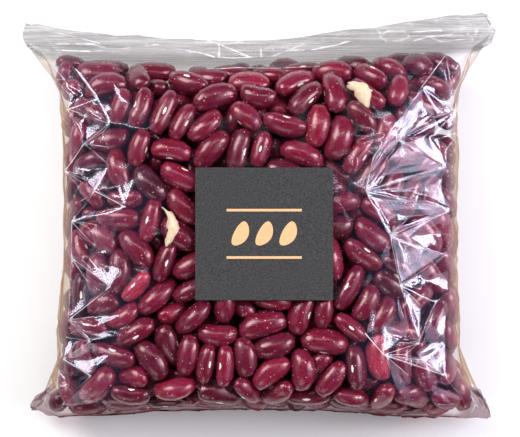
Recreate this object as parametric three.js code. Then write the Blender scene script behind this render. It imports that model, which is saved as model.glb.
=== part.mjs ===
// A sealed clear film bag of dried kidney beans, lying on its back with its label up.
// Millimetres, +Z up, +Y towards the bag's mouth.
// The origin is on the surface that it lies on, under its middle.
import * as THREE from "three";
import { ParametricGeometry } from "three/addons/geometries/ParametricGeometry.js";

// The bag as a whole
const BAG_WIDTH = 177; // the flat mouth strip, end to end
const BAG_LENGTH = 151; // lowest bottom corner to highest strip corner
const BODY_WIDTH = 147; // across the filled part
const EAR_SPAN = 173; // across the two flattened bottom corners
const CROWN_HEIGHT = 43; // top of the fill above the table

// The film's edges, seen from above
const BOTTOM_ARCH = 3; // how far the middle of the bottom edge lies inside its corners
const STRIP_DIP = 10; // how far the middle of the mouth's edge lies below its right corner
const STRIP_DIP_POWER = 1.7; // power of the edge's rise from its middle to its corners
const LEFT_CORNER_DROP = 3.5; // how far its left corner lies below its right one
const STRIP_HEIGHT = 9; // the flat mouth above the fill
const EAR_REACH = 13; // length along the side that a bottom corner takes up
const SHOULDER_REACH = 24; // the same for the slope from the strip down to the body

// The fill
const SEAM_HEIGHT = 16; // height of the widest line along the body's sides
const BOTTOM_EDGE_HEIGHT = 5; // height of the bottom edge above the table
const MOUTH_EDGE_HEIGHT = 11; // height of the mouth's edge above the table
const UNDERSIDE_DROP = 22; // how far the fill would sink below the seam if there were no table
const FILL_FULLNESS = 6; // power of the lengthwise outline: 2 is an ellipse, more is boxier
const SIDE_FULLNESS = 0.6; // power of the crosswise outline: 1 is an ellipse, less is boxier
const FLARE_WIDTH = 8; // distance beyond the body's sides in which the film goes flat
const FLARE_FLATNESS = 0.85; // share of the height that is lost there
const FILM_PLY = 1.4; // thickness where only the slack film is left

// The puckers that slack film makes along both sides
const PUCKERS_PER_SIDE = 9;
const PUCKER_DEPTH = 3.2;
const PUCKER_SLANT = 0.55; // pitches that a pucker climbs on its way in from the side
const PUCKER_WANDER = 0.35; // pitches by which the puckers are unevenly spaced
const PUCKER_WANDER_TURN = 17; // radians that this unevenness runs through from bottom to mouth
const PUCKER_SIDE_TURN = 2; // radians between its left and its middle
const PUCKER_OFFSET = 0.25; // pitches between the puckers of a side and the middle
const REACH_OFFSET = 1 / 3; // the same for their reach
const LEAST_REACH = 0.55; // sine of the angle from the side at which a short pucker ends
const MOST_REACH = 0.95; // the same for a long one

// The label
const LABEL_WIDTH = 49.5;
const LABEL_HEIGHT = 47.6;
const LABEL_THICKNESS = 0.4;
const LABEL_CENTRE_X = 1.9;
const LABEL_CENTRE_Y = -6.4;
const LABEL_GAP = 0.3; // clear of the film's faceted surface
const LABEL_DIVISIONS = 10;
const HEIGHT_PASSES = 6; // rounds in which the film's height under the label is found

// Facets
const AROUND = 64;
const ALONG = 44;

const stripStart = 1 - STRIP_HEIGHT / BAG_LENGTH;

const clamp01 = (t) => Math.min(1, Math.max(0, t));
const smooth = (t) => clamp01(t) ** 2 * (3 - 2 * clamp01(t));
const mix = (a, b, t) => a + (b - a) * t;
const flare = (distance, reach) => (1 - clamp01(distance / reach)) ** 2;
const triangleWave = (t) => Math.abs(2 * (t - Math.floor(t)) - 1);

// How full the bag is at v, from 0 at its bottom edge to 1 at its mouth:
// 1 in the middle, 0 where the film lies flat
function fullness(v) {
  const along = clamp01(v / stripStart);
  return Math.sqrt(Math.max(0, 1 - Math.abs(2 * along - 1) ** FILL_FULLNESS));
}

// Half of the bag's width at v
function halfWidth(v) {
  const ears = (EAR_SPAN - BODY_WIDTH) * flare(v * BAG_LENGTH, EAR_REACH);
  const shoulders = (BAG_WIDTH - BODY_WIDTH) * flare((stripStart - v) * BAG_LENGTH, SHOULDER_REACH);
  return (BODY_WIDTH + ears + shoulders) / 2;
}

// The y of a point at v, with across from -1 at the left side to 1 at the right
function lengthwise(across, v) {
  const bottom = -BAG_LENGTH / 2 + BOTTOM_ARCH * (1 - across ** 2);
  const corner = BAG_LENGTH / 2 - LEFT_CORNER_DROP * smooth((1 - across) / 2);
  const middle = BAG_LENGTH / 2 - STRIP_DIP;
  return mix(bottom, mix(middle, corner, Math.abs(across) ** STRIP_DIP_POWER), v);
}

// Height of the line where the front film turns into the back film
function seamHeight(v) {
  const edge = mix(BOTTOM_EDGE_HEIGHT, MOUTH_EDGE_HEIGHT, v);
  return mix(edge, SEAM_HEIGHT, fullness(v));
}

// How far the film stands above (front) or below the seam at x and v,
// with lift from 0 at the side to 1 in the middle
function standOff(x, lift, v, front) {
  const ply = v > 0 && v < 1 ? FILM_PLY / 2 : 0;
  const crown = front ? CROWN_HEIGHT - SEAM_HEIGHT : UNDERSIDE_DROP;
  const flared = clamp01((Math.abs(x) - BODY_WIDTH / 2) / FLARE_WIDTH);
  const fill = crown * fullness(v) * (1 - FLARE_FLATNESS * flared);
  return lift ** SIDE_FULLNESS * Math.max(ply, fill);
}

// Depth of the puckers at an angle round the bag: deepest at the sides, none over the middle
function puckerDepth(angle, v, side) {
  const inward = Math.sin(angle);
  const wander = PUCKER_WANDER * Math.sin(PUCKER_WANDER_TURN * v + PUCKER_SIDE_TURN * side);
  const pitches = PUCKERS_PER_SIDE * v;
  const wave = triangleWave(pitches + PUCKER_SLANT * inward + wander + PUCKER_OFFSET * side);
  const reach = mix(LEAST_REACH, MOST_REACH, triangleWave(pitches / 2 + REACH_OFFSET * side));
  return PUCKER_DEPTH * wave * fullness(v) * smooth(1 - inward / reach);
}

// A point of the film: u runs once round the bag from its left side over the front,
// v from the bottom edge to the mouth
function filmPoint(u, v, target) {
  const turn = u % 1;
  const front = turn <= 0.5;
  const angle = Math.PI * (1 - (front ? 2 * turn : 2 - 2 * turn));
  const side = Math.sign(Math.cos(angle));
  const across = side * Math.abs(Math.cos(angle)) ** SIDE_FULLNESS;
  const lift = Math.sin(angle);
  const depth = puckerDepth(angle, v, side);
  const x = across * (halfWidth(v) - depth);
  const rise = standOff(x, Math.max(0, lift), v, front) - depth * lift;
  const height = seamHeight(v) + (front ? rise : -rise);
  target.set(x, lengthwise(across, v), Math.max(0, height));
}

// Height of the front film over a point of the plan near the bag's middle, where there are no puckers
function frontHeight(x, y) {
  let v = stripStart / 2;
  for (let pass = 0; pass < HEIGHT_PASSES; pass += 1) {
    const across = x / halfWidth(v);
    v = clamp01((y - lengthwise(across, 0)) / (lengthwise(across, 1) - lengthwise(across, 0)));
  }
  const cosine = Math.abs(x / halfWidth(v)) ** (1 / SIDE_FULLNESS);
  return seamHeight(v) + standOff(x, Math.sqrt(1 - cosine ** 2), v, true);
}

function makeBag() {
  const material = new THREE.MeshStandardMaterial({ color: 0x6e1f2c, roughness: 0.3, metalness: 0 });
  const bag = new THREE.Mesh(new ParametricGeometry(filmPoint, AROUND, ALONG), material);
  bag.name = "bag";
  return bag;
}

// A paper sheet that follows the front film
function makeLabel() {
  const sheet = new THREE.BoxGeometry(
    LABEL_WIDTH, LABEL_HEIGHT, LABEL_THICKNESS, LABEL_DIVISIONS, LABEL_DIVISIONS, 1,
  );
  sheet.translate(LABEL_CENTRE_X, LABEL_CENTRE_Y, LABEL_GAP + LABEL_THICKNESS / 2);
  const corners = sheet.getAttribute("position");
  for (let i = 0; i < corners.count; i += 1) {
    corners.setZ(i, corners.getZ(i) + frontHeight(corners.getX(i), corners.getY(i)));
  }
  const material = new THREE.MeshStandardMaterial({ color: 0x474747, roughness: 0.85, metalness: 0 });
  const label = new THREE.Mesh(sheet, material);
  label.name = "label";
  return label;
}

const bagOfBeans = new THREE.Group();
bagOfBeans.add(makeBag(), makeLabel());

export default bagOfBeans;
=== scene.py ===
# Bag of dried beans: clear film over loose kidney beans, with a paper label on its front
import math

import bmesh
import bpy
import numpy as np
from mathutils import Matrix, Vector
from mathutils.bvhtree import BVHTree
from mathutils.geometry import delaunay_2d_cdt, intersect_point_tri_2d
from mathutils.kdtree import KDTree


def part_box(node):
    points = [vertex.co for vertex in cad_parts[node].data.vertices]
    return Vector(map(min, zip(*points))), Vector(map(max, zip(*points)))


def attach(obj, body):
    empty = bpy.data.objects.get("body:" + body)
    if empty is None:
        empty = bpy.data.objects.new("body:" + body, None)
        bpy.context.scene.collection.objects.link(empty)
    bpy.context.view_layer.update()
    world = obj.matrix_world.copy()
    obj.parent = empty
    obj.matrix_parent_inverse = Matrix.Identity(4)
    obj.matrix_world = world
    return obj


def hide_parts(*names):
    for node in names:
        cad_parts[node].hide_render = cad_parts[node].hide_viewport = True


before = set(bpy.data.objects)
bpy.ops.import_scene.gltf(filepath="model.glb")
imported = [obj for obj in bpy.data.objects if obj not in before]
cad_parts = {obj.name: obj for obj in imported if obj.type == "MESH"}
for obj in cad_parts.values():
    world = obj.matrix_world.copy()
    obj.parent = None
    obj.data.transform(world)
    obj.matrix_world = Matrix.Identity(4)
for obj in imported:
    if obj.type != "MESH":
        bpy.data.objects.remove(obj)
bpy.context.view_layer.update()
mm = 0.001
tiny = 1e-6  # keeps a length off zero
bagLow, bagHigh = (np.array(corner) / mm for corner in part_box("bag"))
labelLow, labelHigh = (np.array(corner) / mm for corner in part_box("label"))
print("frame loaded, bag", np.round(bagHigh - bagLow, 1), "mm")


def linear(hexColour):
    parts = [int(hexColour[i:i + 2], 16) / 255 for i in (1, 3, 5)]
    return [c / 12.92 if c <= 0.04045 else ((c + 0.055) / 1.055) ** 2.4 for c in parts] + [1]


# Adds a node: its settings by name, its inputs as values or links, where a node stands for its first output
def addNode(tree, kind, inputs=None, **settings):
    node = tree.nodes.new(kind)
    for name, value in settings.items():
        setattr(node, name, value)
    for socket, value in (inputs or {}).items():
        if isinstance(value, bpy.types.Node):
            value = next(output for output in value.outputs if output.enabled)
        if isinstance(value, bpy.types.NodeSocket):
            tree.links.new(value, node.inputs[socket])
        else:
            node.inputs[socket].default_value = value
    return node


def newMaterial(name):
    material = bpy.data.materials.new(name)
    material.use_nodes = True
    material.node_tree.nodes.clear()
    return material, material.node_tree


def newPiece(name, mesh, slot, *materials, replaced=()):
    piece = bpy.data.objects.new(name, mesh)
    bpy.context.scene.collection.objects.link(piece)
    for material in materials:
        mesh.materials.append(material)
    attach(piece, "root")
    if replaced:
        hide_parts(*replaced)
    return piece


def meshFrom(bm, name):
    mesh = bpy.data.meshes.new(name)
    for face in bm.faces:
        face.smooth = True
    bm.to_mesh(mesh)
    bm.free()
    return mesh


# The film's shape in mm: outlines seen from above as (y, x) or (across, y), then the fill
filmShape = {
    "left": [(-76, -83), (-72, -86), (-69, -84), (-64.3, -78.3), (-63.6, -75.7), (-43, -74.8), (-27, -72.6),
             (13, -72.4), (34, -73), (38, -71.4), (43, -73), (52, -76.9), (61, -80.5), (72, -82.5)],
    "right": [(-75.5, 86.9), (-68, 83.7), (-65, 81.2), (-64, 78.5), (-60.5, 77.3), (-53.3, 74.3),
              (-38, 74.4), (-16, 73.4), (24, 73.7), (44.8, 72.8), (54, 77.8), (63, 79.8), (75.5, 81.5)],
    "leftTab": [(61, 0), (62.3, 5.2), (67, 6.6), (72, 4.5)],  # the mouth's ends stick out by this much more
    "rightTab": [(63, 0), (64.3, 6.8), (69, 7.8), (70.5, 5.9), (72, 5.4), (75.5, 3.2)],
    "tabReach": 0.2,  # share of the half width that is stretched for it
    "bottom": [(-1, -72), (-0.95, -73.4), (-0.87, -75.5), (-0.68, -74.6), (-0.43, -72.8),
               (0, -72.4), (0.3, -73), (0.6, -75), (0.9, -75.5), (1, -75.5)],
    "mouth": [(-1, 72), (-0.73, 67.8), (-0.46, 66.3), (0, 64.8),
              (0.3, 67.8), (0.6, 71.1), (0.84, 74.4), (1, 75.5)],
    "strip": [(-1, 9.8), (-0.68, 8), (-0.45, 7.6), (-0.23, 7.6), (0, 6.6),
              (0.23, 8), (0.45, 8.5), (0.68, 10.8), (1, 11.5)],  # width of the flat mouth, (across, mm)
    "hem": 0.4,  # the flat edge along the bottom
    "body": 73.5,  # half of the width that is filled; ears and shoulders flare out beyond it
    "flare": 8,
    "flareFlat": 0.85,  # share of the fill's height that is lost across a flare
    "crown": bagHigh[2],
    "seam": 16,  # height of the sides' widest line
    "bottomHeight": 5,
    "mouthHeight": 11,
    "underside": 22,  # how far the back would sag below the seam if nothing held it
    "bottomFullness": 18,  # higher is boxier
    "mouthFullness": 6,
    "sideFullness": 0.6,  # lower is boxier
    "ply": 2.2,  # gap between front and back where only film is left
    "offTable": 0.02,
    "closed": 1e-4,  # share of the length at both ends where front and back are one
    "packingGrid": (48, 72),  # faces across and along of the smooth film that the beans are packed in
}


def along(points, at):
    return np.interp(at, [p[0] for p in points], [p[1] for p in points])


# How far the film is drawn out sideways at the ends of the mouth
def tabShift(across, y):
    s = filmShape
    ends = np.clip((np.abs(across) - 1 + s["tabReach"]) / s["tabReach"], 0, 1)
    return np.where(across < 0, -along(s["leftTab"], y), along(s["rightTab"], y)) * ends


# Points of the smooth film: turn goes from pi at the left over the front to 0, v from bottom to mouth
def filmPoint(turn, v, front):
    s = filmShape
    cosine, lift = np.cos(turn), np.abs(np.sin(turn))
    across = np.sign(cosine) * np.abs(cosine) ** s["sideFullness"]
    bottom, mouth = along(s["bottom"], across), along(s["mouth"], across)
    y = bottom + (mouth - bottom) * v
    x = along(s["left"], y) * (1 - across) / 2 + along(s["right"], y) * (1 + across) / 2
    x = x + tabShift(across, y)
    fill = np.clip((y - bottom - s["hem"]) / (mouth - along(s["strip"], across) - bottom - s["hem"]), 0, 1)
    boxy = np.where(fill < 0.5, s["bottomFullness"], s["mouthFullness"])
    full = np.sqrt(np.maximum(0, 1 - np.abs(2 * fill - 1) ** boxy))
    edge = s["bottomHeight"] + (s["mouthHeight"] - s["bottomHeight"]) * v
    seam = edge + (s["seam"] - edge) * full
    parted = (v > s["closed"]) & (v < 1 - s["closed"])
    flare = np.clip((np.abs(x) - s["body"]) / s["flare"], 0, 1)
    depth = np.where(front, s["crown"] - s["seam"], s["underside"]) * full * (1 - s["flareFlat"] * flare)
    depth = np.maximum(depth, np.where(parted, s["ply"] / 2, 0)) * lift ** s["sideFullness"]
    z = np.maximum(seam + np.where(front, depth, -depth), s["offTable"])
    return np.stack([x, y, z], axis=-1)


# The turn and the share of the length at which the film lies over a point seen from above
def filmPlace(x, y):
    s = filmShape
    left, right = along(s["left"], y), along(s["right"], y)
    across = 0
    tries = 6  # closes in on it, since the shift depends on it too
    for _ in range(tries):
        across = np.clip(2 * (x - tabShift(across, y) - left) / (right - left) - 1, -1, 1)
    bottom, mouth = along(s["bottom"], across), along(s["mouth"], across)
    turn = np.arccos(np.sign(across) * np.abs(across) ** (1 / s["sideFullness"]))
    return turn, (y - bottom) / (mouth - bottom)


# Whether points lie between the front and the back
def insideFilm(points):
    x, y, z = points.T
    turn, v = filmPlace(x, y)
    low, high = (filmPoint(turn, np.clip(v, 0, 1), front)[:, 2] for front in (False, True))
    return (turn > 0) & (turn < np.pi) & (v > 0) & (v < 1) & (z > low) & (z < high)


# The smooth film as a closed mesh, for packing the beans
def smoothBag():
    bm = bmesh.new()
    columns, rows = filmShape["packingGrid"]
    for front in (True, False):
        sheet = bmesh.ops.create_grid(bm, x_segments=columns, y_segments=rows, size=0.5)["verts"]
        for v in sheet:
            v.co = filmPoint(math.pi * (0.5 - v.co.x), v.co.y + 0.5, front)
    weld = 0.01  # mm
    bmesh.ops.remove_doubles(bm, verts=bm.verts, dist=weld)
    bmesh.ops.recalc_face_normals(bm, faces=bm.faces)
    return bm


# How far points lie below the mouth strip
def belowStrip(x, y):
    across = x / bagHigh[0]
    return along(filmShape["mouth"], across) - along(filmShape["strip"], across) - y


# Beans
beanSet = {
    "count": 740,
    "length": 16.4,  # mm
    "width": 9.4,
    "thick": 7.6,
    "sizes": (0.86, 1.1),
    "plump": (0.93, 1.07),  # a bean's length, width and thickness differ from that by these shares
    "bends": (0.5, 1.0, 1.5),  # mm that the middle lies off the line of the ends, one per shape
    "bendPoint": 0.4,  # square of the share of the half length at which a bent bean crosses its line
    "blunt": 0.12,  # fuller ends than an egg's
    "hollow": (0.4, 0.35),  # half width and depth of the dent at the eye, as shares of half length and bend
    "around": 10,
    "rings": 6,
    "eye": (2.5, 0.95),  # mm, the pale scar on the hollow side
    "eyeInset": (0.55, -0.12),  # mm from the edges of its faces, and how deep it lies
    "eyeEnd": (0.2, 0.55),  # share of its half length that counts as its middle, and its taper
    "tone": (0.45, 0.2),  # mean and spread of the skins' tones
    "mostTone": 0.8,
    "redOnes": ((-44, -21), (41.5, -55)),  # where the two palest red beans lie
    "grainSpread": 900,  # mm between the grains of two beans
    "rollSpread": 48,  # degrees by which a bean against the film leans on its side
    "startDepth": 4,  # mm below the film
    "startSlope": 0.45,  # upright share of the directions at first
    "startScale": 0.55,  # size at first, and what is gained over all the rounds
    "growth": 0.6,
    "rounds": 420,
    "pairRounds": 6,  # rounds for which the neighbours are kept
    "pairReach": 2.6,  # radii
    "overshoot": 1.2,
    "press": 0.05,  # pull of the outer beans towards the film, at each round
    "layDown": (1.6, 1.3, 0.12),  # turn along the film: nearness, radii over which it fades, share
    "clearance": 0.15,  # from the film
    "slackRoom": 1.6,  # more of it under the slack film of the front's sides
    "slackFrom": (44, 20),  # mm off the middle and above the table where that begins
    "slackFade": (12, 8),  # mm over which it sets in
    "mouthRoom": (1.6, 8, 0.4),  # the same below the strip: share there, mm over which it fades, the most
    "seed": 11,
}


# Depth below the film on a grid, so that many points can be asked at once
class FilmDepth:
    def __init__(self, bag, pitch=2, margin=6):
        points = np.array([v.co for v in bag.verts])
        tree = BVHTree.FromBMesh(bag)
        self.pitch = pitch
        self.low = points.min(0) - margin
        counts = np.ceil((points.max(0) + margin - self.low) / pitch).astype(int) + 1
        spots = self.low + np.stack(np.indices(counts), axis=-1).reshape(-1, 3) * pitch
        distance = np.array([tree.find_nearest(Vector(spot))[3] for spot in spots])
        self.grid = np.where(insideFilm(spots), distance, -distance).reshape(counts)
        self.slope = np.stack(np.gradient(self.grid, pitch), axis=-1)

    def ask(self, points):
        last = np.array(self.grid.shape) - 1.001  # just inside the last cell
        at = np.clip((points - self.low) / self.pitch, 0, last)
        cell = at.astype(int)
        part = at - cell
        depth, slope = np.zeros(len(points)), np.zeros((len(points), 3))
        for corner in np.ndindex(2, 2, 2):
            share = np.prod(np.where(corner, part, 1 - part), axis=1)
            i, j, k = (cell + corner).T
            depth += share * self.grid[i, j, k]
            slope += share[:, None] * self.slope[i, j, k]
        return depth, slope / np.maximum(np.linalg.norm(slope, axis=1), tiny)[:, None]


# Share of the slack film's room that points get: at the front's sides and below the mouth strip
def slackShare(points):
    b = beanSet
    offMiddle = np.clip((np.abs(points[:, 0]) - b["slackFrom"][0]) / b["slackFade"][0], 0, 1)
    high = np.clip((points[:, 2] - b["slackFrom"][1]) / b["slackFade"][1], 0, 1)
    share, fade, most = b["mouthRoom"]
    atMouth = np.clip(share - belowStrip(points[:, 0], points[:, 1]) / fade, 0, most)
    return np.maximum(offMiddle * high, atMouth)


# Each bean is three balls on a line: the balls push each other apart and the film pushes them in
def packBeans(film):
    b = beanSet
    rng = np.random.default_rng(b["seed"])
    count = b["count"]
    centres = np.zeros((0, 3))
    tries = 4000
    while len(centres) < count:
        spots = rng.uniform(bagLow, bagHigh, (tries, 3))
        centres = np.concatenate([centres, spots[film.ask(spots)[0] > b["startDepth"]]])[:count]
    axes = rng.normal(size=(count, 3)) * (1, 1, b["startSlope"])
    axes /= np.linalg.norm(axes, axis=1)[:, None]
    sizes = rng.uniform(*b["sizes"], count)
    radius = (b["width"] + b["thick"]) / 4 * sizes
    reach = b["length"] / 2 * sizes - radius
    owner = np.repeat(np.arange(count), 3)
    place = np.tile([-1, 0, 1], count)
    for turn in range(b["rounds"]):
        grown = min(1, b["startScale"] + b["growth"] * turn / b["rounds"])
        balls = centres[owner] + (place * reach[owner] * grown)[:, None] * axes[owner]
        if turn % b["pairRounds"] == 0:
            square = (balls ** 2).sum(1)
            gaps = square[:, None] + square[None, :] - 2 * balls @ balls.T
            first, second = np.nonzero(np.triu(gaps < (b["pairReach"] * radius.max()) ** 2, 1))
            apart = owner[first] != owner[second]
            first, second = first[apart], second[apart]
        between = balls[first] - balls[second]
        distance = np.maximum(np.linalg.norm(between, axis=1), tiny)
        overlap = np.maximum(0, (radius[owner[first]] + radius[owner[second]]) * grown - distance)
        push = between * (0.5 * overlap / distance)[:, None]
        moved, hits = np.zeros_like(balls), np.zeros(len(balls))
        for ends, sign in ((first, 1), (second, -1)):
            hits += np.bincount(ends, overlap > 0, len(balls))
            for k in range(3):
                moved[:, k] += sign * np.bincount(ends, push[:, k], len(balls))
        balls += moved / np.maximum(1, hits)[:, None] * b["overshoot"]
        depth, inward = film.ask(balls)
        outer = depth < 2 * radius[owner]
        room = radius[owner] * grown + b["clearance"] + b["slackRoom"] * slackShare(balls)
        balls += inward * np.maximum(-b["press"] * outer, room - depth)[:, None]
        trio = balls.reshape(count, 3, 3)
        centres = trio.mean(1)
        axes = trio[:, 2] - trio[:, 0]
        nearest, fade, share = b["layDown"]
        near = np.clip(nearest - depth.reshape(count, 3).min(1) / radius / fade, 0, 1) * share
        wall = inward.reshape(count, 3, 3)[:, 1]
        axes -= (near * (axes * wall).sum(1))[:, None] * wall
        axes /= np.maximum(np.linalg.norm(axes, axis=1), tiny)[:, None]
    print("beans packed, mean overlap", round(float(overlap[overlap > 0].mean()), 2), "mm")
    return centres, axes, sizes


# One bean along X, its hollow side towards +Y, in mm
def beanShape(bend):
    b = beanSet
    bm = bmesh.new()
    bmesh.ops.create_uvsphere(bm, u_segments=b["around"], v_segments=b["rings"], radius=1)
    quarter = Matrix.Rotation(math.pi / 2, 3, "Y") @ Matrix.Rotation(math.pi / b["around"], 3, "Z")
    bmesh.ops.rotate(bm, verts=bm.verts, cent=(0, 0, 0), matrix=quarter)
    reach, dent = b["hollow"]
    for v in bm.verts:
        x = v.co.x
        blunt = max(tiny, 1 - x * x) ** -b["blunt"]
        hollow = math.exp(-(x / reach) ** 2) * max(0, v.co.y) * dent
        y = v.co.y * blunt * b["width"] / 2 + bend * (x * x - b["bendPoint"]) - hollow * bend
        v.co = (x * b["length"] / 2, y, v.co.z * blunt * b["thick"] / 2)
    hollowSide = Vector((0, b["width"] / 2, 0))
    eye = sorted(bm.faces, key=lambda f: (f.calc_center_median() - hollowSide).length)[:2]
    inset, sunk = b["eyeInset"]
    bmesh.ops.inset_region(bm, faces=eye, thickness=inset, depth=sunk)
    middle, taper = b["eyeEnd"]
    for v in {v for f in eye for v in f.verts}:
        end = min(1, abs(v.co.x) / (b["eye"][0] / 2))
        v.co.x = math.copysign(end * b["eye"][0] / 2, v.co.x) if end > middle else v.co.x
        v.co.z = math.copysign(b["eye"][1] / 2 * (1 - taper * end), v.co.z)
    for f in eye:
        f.material_index = 1
    bmesh.ops.recalc_face_normals(bm, faces=bm.faces)
    bmesh.ops.triangulate(bm, faces=bm.faces)
    points = np.array([v.co for v in bm.verts])
    faces = np.array([[v.index for v in f.verts] for f in bm.faces])
    kinds = np.array([f.material_index for f in bm.faces])
    bm.free()
    return points, faces, kinds


# All the beans as one mesh, with each bean's tone and its own grain coordinates
def makeBeans(film):
    b = beanSet
    centres, axes, sizes = packBeans(film)
    rng = np.random.default_rng(b["seed"] + 1)
    shapes = [beanShape(bend) for bend in b["bends"]]
    depth, inward = film.ask(centres)
    points, faces, kinds, tones, grains = [], [], [], [], []
    total = 0
    tone = np.clip(rng.normal(*b["tone"], len(centres)), 0, b["mostTone"])
    behind = 1e6 * (centres[:, 2] <= filmShape["seam"])  # rules out the back's beans
    hidden = 1.5 * (depth - depth.min()) ** 2 + behind
    for x, y in b["redOnes"]:
        near = (centres[:, 0] - x) ** 2 + (centres[:, 1] - y) ** 2
        tone[np.argmin(near + hidden)] = 1
    for i, (centre, axis) in enumerate(zip(centres, axes)):
        shape = shapes[rng.integers(len(shapes))]
        flat = -inward[i] if depth[i] < b["width"] else rng.normal(size=3)
        side = np.cross(flat, axis)
        side /= max(tiny, np.linalg.norm(side))
        up = np.cross(axis, side)
        roll = math.radians(rng.normal(0, b["rollSpread"])) + math.pi * rng.integers(2)
        turned = math.cos(roll) * side + math.sin(roll) * up
        basis = np.stack([axis, turned, np.cross(axis, turned)])
        plump = rng.uniform(*b["plump"], 3) * sizes[i]
        placed = (shape[0] * plump) @ basis + centre
        placed[:, 2] += max(0, b["clearance"] - placed[:, 2].min())  # off the table
        points.append(placed)
        faces.append(shape[1] + total)
        kinds.append(shape[2])
        tones.append(np.full(len(shape[0]), tone[i]))
        grains.append(shape[0] + rng.uniform(0, b["grainSpread"], 3))
        total += len(shape[0])
    points, faces = np.concatenate(points), np.concatenate(faces)
    mesh = bpy.data.meshes.new("beans")
    mesh.from_pydata(points * mm, [], faces)
    mesh.polygons.foreach_set("material_index", np.concatenate(kinds))
    mesh.polygons.foreach_set("use_smooth", np.ones(len(faces), bool))
    mesh.attributes.new("tone", "FLOAT", "POINT").data.foreach_set("value", np.concatenate(tones))
    grain = mesh.attributes.new("grain", "FLOAT_VECTOR", "POINT")
    grain.data.foreach_set("vector", np.concatenate(grains).ravel())
    mesh.update()
    print("beans made,", len(centres), "beans,", len(faces), "triangles")
    return mesh, points, faces


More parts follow.
